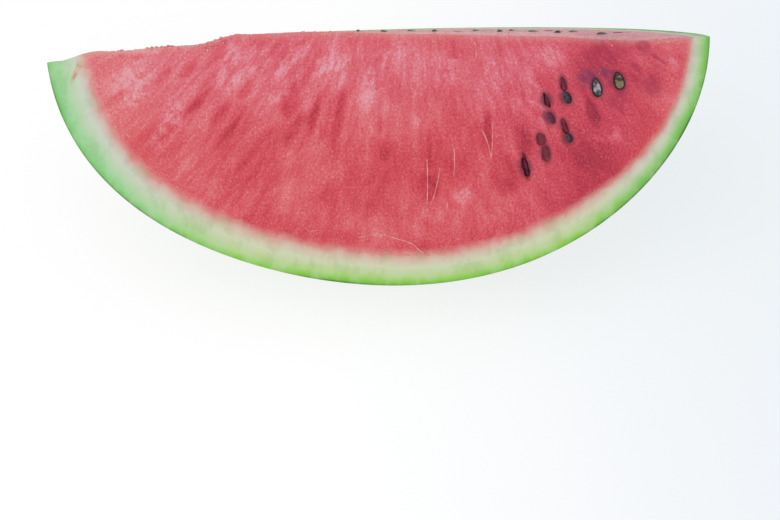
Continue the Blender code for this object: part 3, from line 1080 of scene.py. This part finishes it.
def kernel_finish(name, dark, light):
    """Kernel of a sliced seed, mottled dark and light and broken by its seed leaves."""
    finish, web, shader = new_finish(name, 0.4, Specular_IOR_Level=0.4)
    place = web.object_place()
    grain = web.noise(place, 1100, 3.0, 0.6, 0.3)
    broad = web.noise(place, 420, 2.0, 0.5, 0.4)
    colour = web.blend(web.ramp(broad, 0.40, 0.62), dye(*dark), dye(*light))
    colour = web.blend(web.ramp(grain, 0.52, 0.72) * 0.5, colour, dye(34, 26, 30))
    bump = web.bump(0.4, 0.12 * MM, grain + broad)
    vary(web, shader, Base_Color=colour, Normal=bump, Roughness=0.30 + grain * 0.2)
    return finish


def grain_finish(name, low, high, scale):
    """Loose juice sacs, crumbs and strands: wet, and lighter than the flesh under them."""
    finish, web, shader = new_finish(
        name, 0.2, Coat_Roughness=0.1, Specular_IOR_Level=0.4)
    tint = web.noise(web.object_place(), scale, 2.0, 0.6)
    colour = web.blend(web.ramp(tint, 0.35, 0.65), dye(*low), dye(*high))
    vary(web, shader, Base_Color=colour, Roughness=0.16 + tint * 0.2,
         Coat_Weight=0.1 + tint * 0.1)
    return finish


# ---------------------------------------------------------------- grains, crumbs, strands

def grains_tree(name):
    """Small rounded grains on one part of a surface, each turned and sized by chance."""
    web, given = new_shape(name, (
        ("Density", "NodeSocketFloat", 100000.0),
        ("Grain Size", "NodeSocketFloat", 0.4 * MM),
        ("Seed", "NodeSocketInt", 1),
        ("Edge Only", "NodeSocketFloat", 0.0),
        ("Finish", "NodeSocketMaterial", None),
    ))
    position = web.add("GeometryNodeInputPosition")
    x, p, q = melon_wires(web, position)
    _, _, height = web.split(position)
    deep = skin_distance(web, x, p, q)
    flesh = web.ramp(deep, 14 * MM, 26 * MM)
    patch = web.noise(position, 90, 3.0, 0.6)
    beyond_edge = web.least(p - eased_wire(web, CORE_EDGE, x), 0.02) + web.most(q, 0.0)
    top = web.ramp(beyond_edge, 1.0 * MM, 6 * MM, 1.0, 0.0) * web.ramp(patch, 0.42, 0.60)
    broken = web.ramp(x, -0.062, -0.082, 0.06, 1.0) * web.ramp(x, -0.122, -0.108)
    top = top * (broken + web.ramp(x, 0.128, 0.136) * 0.5)
    spread = flesh * web.ramp(patch, 0.38, 0.66, 0.15, 1.0)
    top = top * web.ramp(deep, 12 * MM, 16 * MM)
    share = spread * (1 - given["Edge Only"]) + top * given["Edge Only"]
    share = share * web.ramp(height, 112.0 * MM, 112.8 * MM, 1.0, 0.0)
    share = share * web.ramp(web.stored("pocket"), 0.20, 0.30, 1.0, 0.0)
    points = web.add("GeometryNodeDistributePointsOnFaces", {"distribute_method": "RANDOM"}, {
        "Mesh": given["Geometry"], "Density": given["Density"] * share,
        "Seed": given["Seed"]})
    size = web.random(0.35, 1.0, 3) * given["Grain Size"]
    flat = web.random(0.5, 1.0, 4)
    turn = web.point(*(web.random(0.0, math.tau, 5 + axis) for axis in range(3)))
    grain = web.add("GeometryNodeMeshIcoSphere", values={"Radius": 0.5, "Subdivisions": 1})
    placed = web.add("GeometryNodeInstanceOnPoints", values={
        "Points": points, "Instance": grain, "Rotation": turn,
        "Scale": web.point(size, size * flat, size * flat)})
    return close_shape(web, finish_shape(web, placed, given["Finish"]))


def flesh_faces(wedge, flesh):
    """A copy of the wedge's cut faces alone, for grains to be strewn on."""
    bm = bmesh.new()
    bm.from_mesh(wedge.data)
    index = wedge.data.materials.find(flesh.name)
    others = [face for face in bm.faces if face.material_index != index]
    bmesh.ops.delete(bm, geom=others, context="FACES")
    mesh = bpy.data.meshes.new("cut faces")
    bm.to_mesh(mesh)
    bm.free()
    return plain_object("cut faces", mesh)


def strands_tree():
    """A thin strand of varying width along each curve."""
    web, given = new_shape("strands", (
        ("Width", "NodeSocketFloat", 0.5 * MM),
        ("Finish", "NodeSocketMaterial", None),
    ))
    fine = web.add("GeometryNodeResampleCurve", {"mode": "LENGTH"}, {
        "Curve": given["Geometry"], "Length": 0.5 * MM})
    share = web.add("GeometryNodeSplineParameter")
    taper = web.root(web.maths("SINE", share * (math.pi * 0.98) + 0.03))
    wobble = web.noise(web.add("GeometryNodeInputPosition"), 600, 2.0, 0.6)
    sized = web.add("GeometryNodeSetCurveRadius", values={
        "Curve": fine, "Radius": taper * (wobble + 0.5)})
    ring = web.add("GeometryNodeCurvePrimitiveCircle", {"mode": "RADIUS"}, {
        "Resolution": 8, "Radius": given["Width"] * 0.5})
    tube = web.add("GeometryNodeCurveToMesh", values={
        "Curve": sized, "Profile Curve": ring, "Fill Caps": True})
    return close_shape(web, finish_shape(web, tube, given["Finish"]))


def make_strands(finish):
    """The pale strands, sunk into the cuts by about half their width."""
    curve = bpy.data.curves.new("strand lines", "CURVE")
    curve.dimensions = "3D"
    for second, strands in ((False, FRONT_STRANDS), (True, BACK_STRANDS)):
        for strand in strands:
            spline = curve.splines.new("NURBS")
            spline.points.add(len(strand) - 1)
            for point, (x, depth) in zip(spline.points, strand):
                place, _, _, out = cut_frame(x * MM, depth * MM, second)
                point.co = (*(place - out * STRAND_SINK), 1.0)
            spline.order_u = 3
            spline.use_endpoint_u = True
    body = plain_object("strand lines", curve)
    shape_modifier(body, strands_tree(), {"Width": STRAND_WIDTH, "Finish": finish})
    return baked(body, "pale_strands")


# ---------------------------------------------------------------- the wedge

def make_wedge(flesh, skin, cutters):
    """The wedge with its seed pockets and its marks, as one closed mesh."""
    pockets = bpy.data.collections.new("pockets")
    bpy.context.scene.collection.children.link(pockets)
    for cutter in cutters:
        bpy.context.scene.collection.objects.unlink(cutter)
        pockets.objects.link(cutter)
        cutter.data.materials.append(flesh)
    wedge = plain_object("wedge rule")
    shape_modifier(wedge, wedge_tree(), {"Flesh": flesh, "Skin": skin})
    scoop = wedge.modifiers.new("pockets", "BOOLEAN")
    scoop.operation = "DIFFERENCE"
    scoop.operand_type = "COLLECTION"
    scoop.collection = pockets
    scoop.solver = "MANIFOLD"
    scoop.material_mode = "TRANSFER"
    made = baked(wedge, "melon_wedge")
    paint_marks(made.data)
    for cutter in cutters:
        bpy.data.objects.remove(cutter)
    bpy.data.collections.remove(pockets)
    made.data.set_sharp_from_angle(angle=WEDGE_CREASE)
    return made


def dress_wedge():
    flesh, skin = flesh_finish(), skin_finish()
    seeds, cutters = make_seeds()
    wedge = make_wedge(flesh, skin, cutters + make_hollow_cutters())
    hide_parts("wedge")
    for seed in seeds:
        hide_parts(seed.name.removeprefix("fine_"))
        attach(seed, "root")
    loose = []
    for name, density, size, seed, edge, finish in (
            ("juice_sacs", 200000.0, 0.55 * MM, 11, 0.0,
             grain_finish("juice sac", (226, 112, 128), (238, 158, 170), 500)),
            ("core_crumbs", 900000.0, 1.9 * MM, 23, 1.0,
             grain_finish("flesh crumb", (222, 98, 104), (236, 150, 148), 420))):
        strewn = flesh_faces(wedge, flesh)
        shape_modifier(strewn, grains_tree(name), {
            "Density": density, "Grain Size": size, "Seed": seed, "Edge Only": edge,
            "Finish": finish})
        loose.append(baked(strewn, name))
    loose.append(make_strands(
        grain_finish("pale strand", (220, 108, 112), (232, 146, 142), 300)))
    for piece in (wedge, *loose):
        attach(piece, "root")


# ---------------------------------------------------------------- stage, light and camera

def make_floor():
    """A plain pale floor, lit from within like a light table."""
    bm = bmesh.new()
    bmesh.ops.create_grid(bm, x_segments=2, y_segments=2, size=FLOOR_SIZE)
    finish, web, shader = new_finish(
        "pale floor", 0.9, Base_Color=(0.2, 0.2, 0.2, 1), Emission_Strength=FLOOR_GLOW)
    px, _, _ = web.split(web.object_place())
    shade = web.blend(web.ramp(px, -0.05, 0.22), (1, 1, 1, 1), (0.84, 0.88, 0.92, 1))
    vary(web, shader, Emission_Color=shade)
    mesh_object("floor", bm, Matrix.Identity(4), finish)


def make_light(name, place, size, power, colour):
    lamp = bpy.data.lights.new(name, "AREA")
    lamp.size = size
    lamp.energy = power
    lamp.color = colour
    body = plain_object(name, lamp)
    body.location = place
    away = Vector(place) - Vector(LIGHT_TARGET)
    body.rotation_euler = away.to_track_quat("Z", "Y").to_euler()


def make_lights():
    make_light("overhead softbox", (-0.5, -0.5, 1.5), 1.4, 8.2, (1.0, 0.99, 0.97))
    make_light("front softbox", (0.5, -1.5, 0.9), 1.2, 3.7, (0.97, 0.98, 1.0))
    world = bpy.data.worlds.new("studio")
    bpy.context.scene.world = world
    world.use_nodes = True
    background = world.node_tree.nodes["Background"]
    background.inputs["Color"].default_value = (0.95, 0.97, 1.0, 1)
    background.inputs["Strength"].default_value = WORLD_LIGHT
    bpy.context.scene.view_settings.view_transform = "Standard"


def make_camera():
    """Looks down on the first cut, with the wedge in the upper part of the view."""
    look = Vector((0, math.cos(VIEW_PITCH), -math.sin(VIEW_PITCH)))
    rise = Vector((0, math.sin(VIEW_PITCH), math.cos(VIEW_PITCH)))
    target = AXIS + Vector((VIEW_ACROSS, 0, 0)) - rise * VIEW_BELOW
    lens = bpy.data.cameras.new("camera")
    lens.sensor_width = SENSOR_WIDTH
    lens.lens = LENS
    camera = plain_object("camera", lens)
    camera.location = target - look * VIEW_DISTANCE
    camera.rotation_euler = (math.radians(90) - VIEW_PITCH, 0, 0)
    bpy.context.scene.camera = camera


def main():
    make_camera()
    dress_wedge()
    make_floor()
    make_lights()


main()
